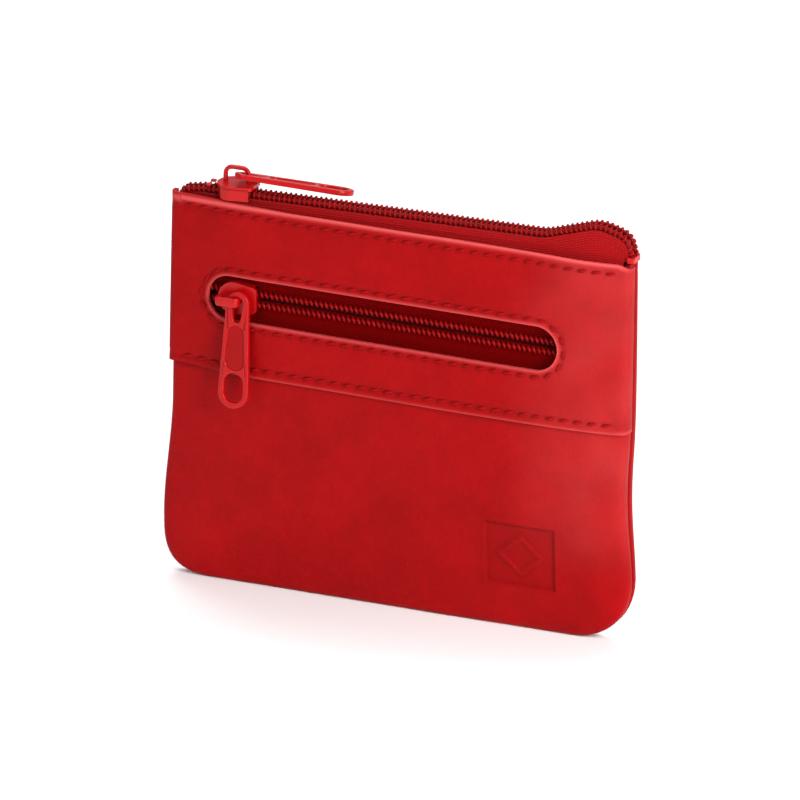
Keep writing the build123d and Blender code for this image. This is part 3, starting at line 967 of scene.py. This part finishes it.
ACROSS = Vector((0, 1, 0))
MAIN_ROUTE = (  # x and z of the main chain: nearly straight, then over a hump and down
    (-52.6, 89.65),
    (-47.5, 90.55),
    (33.0, 92.24),
    (45.5, 96.2),
    (52.4, 94.2),
    (53.3, 90.2),
)
main_smooth = filleted([Vector((x, 0, z)) for x, z in MAIN_ROUTE], (12, 12, 8, 4))
main_line = evenly(main_smooth, COIL_PITCH / TURN_STEPS)
for side, level in ((-1, "front"), (1, "back")):
    wind_coil("mouth", level, f"top_coil_{level}", side, main_line, ACROSS, 0.52, 0.42, 14)


# ------------------------------------------------------------------ zip tapes
def strip_mesh(name, rows, columns, point):
    """A strip of cloth; point(i, j) gives its place and its u and v along the cloth in mm."""
    points = []
    coords = []
    for i in range(rows):
        for j in range(columns):
            place, uv = point(i, j)
            points.append(place)
            coords.append(uv)
    piece = mesh_piece(name, points, grid_faces(rows, columns))
    paint_uv(piece, coords)
    return piece


TAPE_BACK = -1.62
TAPE_REACH = 6.8
for side, level in ((1, "upper"), (-1, "lower")):

    def window_tape_point(i, j):
        u = mix(CHAIN_LEFT, CHAIN_RIGHT, j / 180)
        v = mix(0.5, TAPE_REACH, i / 36)
        sewn = 0.10 * exp(-(((v - 2.75) / 0.22) ** 2)) * (0.7 + 0.3 * sin(2 * pi * u / 1.6))
        cockle = 0.10 * sin(u / 5.1 + side) * clamp((v - 3.0) / 3.0)
        return window_place.at(u, side * v, TAPE_BACK + sewn + cockle), (u, v)

    tape = strip_mesh(f"window_tape_strip_{level}", 37, 181, window_tape_point)
    face_outward(tape, -1)
    thicken(tape, 0.3)
    settle(tape, "purse", SHADED_TAPE_LOOK, f"window_tape_{level}")

TAPE_LOW_Z = 80.5
TAPE_END_X = 51.6
TAPE_SKIRT = 2.1


def main_height(x):
    """Height of the main chain's middle line at x."""
    for a, b in zip(main_smooth, main_smooth[1:]):
        if a.x <= x <= b.x:
            return mix(a.z, b.z, (x - a.x) / max(b.x - a.x, 1e-6))
    return main_smooth[-1].z


def mouth_tape(level, side, base):
    """A mouth tape: from inside the purse, past the lip and up to the coil."""
    low_rows, high_rows, columns = 14, 24, 230
    inward = LEATHER + 0.15

    def point(i, j):
        share = j / (columns - 1)
        if i < low_rows:
            z = mix(TAPE_LOW_Z, HEIGHT - 0.4, i / low_rows)
            x = mix(-TAPE_END_X, TAPE_END_X, share)
            rise = 0.0
        else:
            rise = (i - low_rows) / high_rows
            spread = smooth(rise * 3)
            x = mix(mix(-TAPE_END_X, -52.5, spread), mix(TAPE_END_X, 52.7, spread), share)
            top = main_height(x) - 0.75
            z = mix(HEIGHT - 0.4, top, rise)
        top = main_height(x) - 0.75
        low = base(x, min(z, HEIGHT)) - inward
        blend = smooth((z - HEIGHT - 0.1) / max(1.2, 0.85 * (top - HEIGHT)))
        out = mix(low, TAPE_SKIRT - 0.2, blend)
        down = top - z
        sewn = 0.14 * exp(-(((down - 1.5) / 0.24) ** 2)) * (0.75 + 0.25 * sin(2 * pi * x / 1.6))
        sag = 0.18 * sin(x / 4.3 + 2 * side) * smooth(down / 3.0) * blend
        return (x, side * (out + sewn + sag), z), (x, down)

    tape = strip_mesh(f"mouth_tape_strip_{level}", low_rows + high_rows + 1, columns, point)
    face_outward(tape, side)
    thicken(tape, 0.3)
    settle(tape, "purse", TAPE_LOOK, f"top_tape_{level}")


mouth_tape("front", -1, front_base)
mouth_tape("back", 1, back_base)


# ------------------------------------------------------------------ linings
LINING_INSET = 7.5
LINING_TOP = 80.0


def lining_half(z):
    """Half width of the lining's cutting pattern: the purse's outline, less the inset."""
    if z >= CORNER_RADIUS:
        return half_width(z) - LINING_INSET
    radius = CORNER_RADIUS - LINING_INSET
    drop = CORNER_RADIUS - z
    return half_width(CORNER_RADIUS) - CORNER_RADIUS + sqrt(max(radius**2 - drop**2, 0.0))


def lining(name, node, low, surface):
    """A thin cloth sheet inside the purse, following surface(x, z)."""
    rows, columns = 60, 90

    def point(i, j):
        z = mix(low, LINING_TOP, i / (rows - 1))
        half = lining_half(z)
        x = mix(-half, half, j / (columns - 1))
        return (x, surface(x, z), z), (x, z)

    cloth = strip_mesh(name, rows, columns, point)
    face_outward(cloth, -1)
    thicken(cloth, 0.25)
    settle(cloth, "purse", LINING_LOOK, node)


lining("pocket_lining_cloth", "pocket_lining", 18.0, lambda x, z: 3.85 - front_base(x, z))
lining("front_lining_cloth", "front_lining", 7.6, lambda x, z: 4.25 - front_base(x, z))
lining("back_lining_cloth", "back_lining", 7.6, lambda x, z: back_base(x, z) - 1.35)


# ------------------------------------------------------------------ zip metal
def circle(u, v, radius, count=40, start=0.0):
    return [
        (u + radius * cos(start + 2 * pi * i / count), v + radius * sin(start + 2 * pi * i / count))
        for i in range(count)
    ]


def hull(points):
    """Convex hull, counterclockwise."""
    ordered = sorted(set((round(a, 6), round(b, 6)) for a, b in points))

    def half(sequence):
        chain = []
        for p in sequence:
            while len(chain) > 1:
                a, b = chain[-2], chain[-1]
                if (b[0] - a[0]) * (p[1] - a[1]) - (b[1] - a[1]) * (p[0] - a[0]) > 0:
                    break
                chain.pop()
            chain.append(p)
        return chain[:-1]

    return half(ordered) + half(list(reversed(ordered)))


def rounded_box(u0, u1, v0, v1, radius):
    corners = []
    for u, v in ((u0, v0), (u1, v0), (u1, v1), (u0, v1)):
        cu = clamp(u, u0 + radius, u1 - radius)
        cv = clamp(v, v0 + radius, v1 - radius)
        corners += circle(cu, cv, radius, 16)
    return hull(corners)


def above(polygon, level, side):
    """The part of a convex polygon where side * v is over level."""
    kept = []
    for a, b in zip(polygon, polygon[1:] + polygon[:1]):
        in_a, in_b = side * a[1] >= level, side * b[1] >= level
        if in_a:
            kept.append(a)
        if in_a != in_b:
            share = (level - side * a[1]) / (side * b[1] - side * a[1])
            kept.append((mix(a[0], b[0], share), side * level))
    return kept


def plate(place, outer, low, high, bevel, holes=()):
    """A flat casting with rounded edges: outer and holes are outlines in u and v."""
    work = bmesh.new()
    rims = []
    for level in (low, high):
        edges = []
        for outline in (outer, *holes):
            verts = [work.verts.new(place.at(u, v, level) * MM) for u, v in outline]
            edges += [work.edges.new((a, b)) for a, b in zip(verts, verts[1:] + verts[:1])]
            rims.append(verts)
        normal = place.o if level == high else -place.o
        bmesh.ops.triangle_fill(work, use_beauty=True, use_dissolve=False, edges=edges, normal=normal)
    count = len(rims) // 2
    for below, over in zip(rims[:count], rims[count:]):
        for i in range(len(below)):
            k = (i + 1) % len(below)
            work.faces.new((below[i], below[k], over[k], over[i]))
    bmesh.ops.recalc_face_normals(work, faces=work.faces)
    mesh = bpy.data.meshes.new("casting")
    work.to_mesh(mesh)
    work.free()
    smooth_shading(mesh)
    piece = link_new("casting", mesh)
    round_edges(piece, bevel, 4)
    even = piece.modifiers.new("even", "WEIGHTED_NORMAL")
    even.keep_sharp = True
    even.weight = 100
    return piece


def arch(name, node, body, place, left, right, height, limb, roof, foot_half, strap_half, corner):
    """A bridge swept along an arch: feet on the slider's plate and a strap over the gap."""
    u0, u1 = left + limb / 2, right - limb / 2
    top = height - roof / 2
    route = [Vector((u0, -0.15, 0)), Vector((u0, top, 0)), Vector((u1, top, 0)), Vector((u1, -0.15, 0))]
    line = filleted(route, (corner, corner), 12)
    line = evenly(line, 0.12)
    around = 20
    points = []
    for i, spot in enumerate(line):
        tangent = tangent_at(line, i)
        across = Vector((tangent.y, -tangent.x, 0))
        level = smooth(1.15 * spot.y / top)
        half_v = mix(foot_half, strap_half, level)
        half_t = mix(limb / 2, roof / 2, level)
        for k in range(around):
            angle = 2 * pi * k / around
            c, s = cos(angle), sin(angle)
            a = half_v * abs(c) ** 0.7 * (1 if c > 0 else -1)
            b = half_t * abs(s) ** 0.7 * (1 if s > 0 else -1)
            at = spot + across * b
            points.append(place.at(at.x, a, at.y))
    piece = mesh_piece(name, points, tube_faces(len(line), around))
    merge_close(piece, 0.001)
    settle(piece, body, ENAMEL_LOOK, node)


SLIDER_OUTLINE = hull(circle(-0.85, 0, 3.7, 72) + circle(3.3, 1.9, 1.2, 32) + circle(3.3, -1.9, 1.2, 32))


def slider(name, node, body, place, plate_low, flange_low, back_low, back_half):
    """A slider: its front plate, two flanges, its back plate and the post between them."""
    parts = [plate(place, SLIDER_OUTLINE, plate_low, plate_low + 0.8, 0.3)]
    for side in (1, -1):
        wall = above(SLIDER_OUTLINE, 3.0, side)
        parts.append(plate(place, wall, flange_low, plate_low + 0.3, 0.14))
    back = rounded_box(-4.0, 4.0, -back_half, back_half, 0.6)
    parts.append(plate(place, back, back_low, back_low + 0.7, 0.2))
    post = rounded_box(-3.3, -1.5, -0.33, 0.33, 0.28)
    parts.append(plate(place, post, back_low + 0.5, plate_low + 0.2, 0.05))
    piece = join_pieces(name, parts)
    settle(piece, body, ENAMEL_LOOK, node)


PULL_HALF_THICK = 0.6
INLAY_HALF_THICK = 0.33
EYE_U = 19.15  # the eye's middle, from the head's
EYE_HALF_LONG = 1.05  # over its straight sides
FIELD_U = (6.9, 12.8)  # ends of the sunk field between slot and eye


def slot_outline(u0, radius0, u1, radius1, steps=40):
    """A round-ended outline over two circles."""
    return hull(circle(u0, 0, radius0, steps) + circle(u1, 0, radius1, steps))


def pull_tab(name, node, body, place):
    """A tab with a slot at its head, an eye at its end and a sunk inlay between them, darker as painted
    shade.
    """
    outer = hull(circle(0, 0, 2.7, 64) + circle(20.2, 0, 3.6, 72))
    slot = hull(circle(0, 0, 1.4, 40) + circle(3.4, 0, 0.9, 32))
    eye = slot_outline(EYE_U - EYE_HALF_LONG, 2.3, EYE_U + EYE_HALF_LONG, 2.3, 48)
    field = slot_outline(FIELD_U[0], 1.9, FIELD_U[1], 2.35)
    inlay = slot_outline(FIELD_U[0], 2.15, FIELD_U[1], 2.6)
    rim = plate(place, outer, -PULL_HALF_THICK, PULL_HALF_THICK, 0.24, (slot, eye, field))
    rim = join_pieces(name, [rim])
    settle(rim, body, ENAMEL_LOOK, node)
    # The inlay's darker enamel is painted shade in the tab's sunk field.
    panel = join_pieces(name + "_inlay", [plate(place, inlay, -INLAY_HALF_THICK, INLAY_HALF_THICK, 0.05)])
    settle(panel, body, RECESS_SHADE_LOOK)


window_slider_place = chain_place(-38.1)
slider(
    "window_slider_casting",
    "window_slider_body",
    "window_slider",
    window_slider_place,
    plate_low=0.15,
    flange_low=-1.25,
    back_low=-2.85,
    back_half=3.4,
)
window_bail_place = Place(
    window_slider_place.at(0, 0, 0.95), window_slider_place.u, window_slider_place.o
)
arch(
    "window_slider_bridge",
    "window_slider_bail",
    "window_slider",
    window_bail_place,
    left=-4.4,
    right=1.5,
    height=3.3,
    limb=1.1,
    roof=0.85,
    foot_half=0.55,
    strap_half=1.1,
    corner=0.75,
)

PULL_TILT = radians(5.5)
PULL_YAW = radians(2.0)
pull_down = Vector((0, -sin(PULL_TILT), -cos(PULL_TILT)))
pull_across = Vector((cos(PULL_YAW), -sin(PULL_YAW), 0))
window_pull_place = Place(
    window_slider_place.at(0.95, -0.4, 2.45), pull_down, pull_down.cross(pull_across)
)
pull_tab("window_pull_casting", "window_pull_tab", "window_pull", window_pull_place)

MAIN_SLOPE = 0.021
top_place = Place((-40.0, 0, 90.7075), (1, 0, MAIN_SLOPE), (-MAIN_SLOPE, 0, 1))
slider(
    "top_slider_casting",
    "top_slider_body",
    "top_slider",
    top_place,
    plate_low=1.2,
    flange_low=-1.2,
    back_low=-2.2,
    back_half=1.25,
)
top_bail_place = Place(top_place.at(0, 0, 2.0), top_place.u, top_place.o)
arch(
    "top_slider_bridge",
    "top_slider_bail",
    "top_slider",
    top_bail_place,
    left=-3.3,
    right=3.3,
    height=3.9,
    limb=1.1,
    roof=0.95,
    foot_half=0.5,
    strap_half=0.5,
    corner=1.6,
)

TOP_DROP = radians(5.5)
TOP_SKEW = radians(14.0)
TOP_ROLL = radians(13.0)
top_along = Vector((cos(TOP_DROP) * cos(TOP_SKEW), cos(TOP_DROP) * sin(TOP_SKEW), -sin(TOP_DROP)))
top_level = Vector((0, 0, 1)).cross(top_along).normalized()
top_side = top_level * cos(TOP_ROLL) - top_along.cross(top_level) * sin(TOP_ROLL)
top_pull_place = Place(
    top_place.at(0.3, -0.55, 3.85) + top_along * 2.05, top_along, top_along.cross(top_side)
)
pull_tab("top_pull_casting", "top_pull_tab", "top_pull", top_pull_place)

# The small zip stops keep their cast shapes and take the enamel.
for node in ("top_end_stop", "top_start_stops", "window_end_stop", "window_start_stops"):
    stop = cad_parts[node]
    stop.data.materials.clear()
    stop.data.materials.append(ENAMEL_LOOK)

# ------------------------------------------------------------------ camera, light, floor
AZIMUTH = radians(22.0)
ELEVATION = radians(20.6)
ROLL = radians(0.9)
LENS = 1200.0
PIXELS_PER_MM = 4.57
IMAGE = 800.0
AIM = Vector((-0.9, 0.0, 47.9)) * MM

camera_data = bpy.data.cameras.new("camera")
camera_data.lens = LENS
camera_data.sensor_width = 36.0
camera_data.clip_end = 20.0
camera = link_new("camera", camera_data)
back = Vector(
    (sin(AZIMUTH) * cos(ELEVATION), -cos(AZIMUTH) * cos(ELEVATION), sin(ELEVATION))
)
distance = LENS * (IMAGE / camera_data.sensor_width) / PIXELS_PER_MM * MM
camera.location = AIM + back * distance
camera.rotation_mode = "QUATERNION"
roll = Matrix.Rotation(ROLL, 3, "Z").to_quaternion()
camera.rotation_quaternion = back.to_track_quat("Z", "Y") @ roll
bpy.context.scene.camera = camera


def soft_light(name, place, size, power):
    """A rectangular lamp aimed at the purse; place and size are in metres."""
    data = bpy.data.lights.new(name, "AREA")
    data.shape = "RECTANGLE"
    data.size = size[0]
    data.size_y = size[1]
    data.energy = power
    light = link_new(name, data)
    light.location = place
    aim = (Vector((0, 0, 0.05)) - Vector(place)).to_track_quat("-Z", "Y")
    light.rotation_euler = aim.to_euler()


soft_light("key_right", (0.34, -0.20, 0.24), (0.22, 0.22), 2.2)
soft_light("fill_left", (-0.35, -0.85, 0.60), (0.7, 0.7), 3.4)
soft_light("top_back", (-0.15, 0.35, 0.75), (0.7, 0.5), 6.0)

world = bpy.data.worlds.new("studio")
world.use_nodes = True
set_inputs(world.node_tree.nodes["Background"], {"Color": (1, 1, 1, 1), "Strength": 0.38})
bpy.context.scene.world = world
bpy.context.scene.view_settings.view_transform = "Standard"

FLOOR = 3000.0
floor_corners = [(-FLOOR, -FLOOR, 0), (FLOOR, -FLOOR, 0), (FLOOR, FLOOR, 0), (-FLOOR, FLOOR, 0)]
floor = mesh_piece("floor", floor_corners, [(0, 1, 2, 3)])
floor_look, _, floor_shader = material_nodes("pale_floor")
set_inputs(floor_shader, {"Base Color": (0.92, 0.92, 0.92, 1), "Roughness": 0.9})
floor.data.materials.append(floor_look)

bpy.context.view_layer.update()
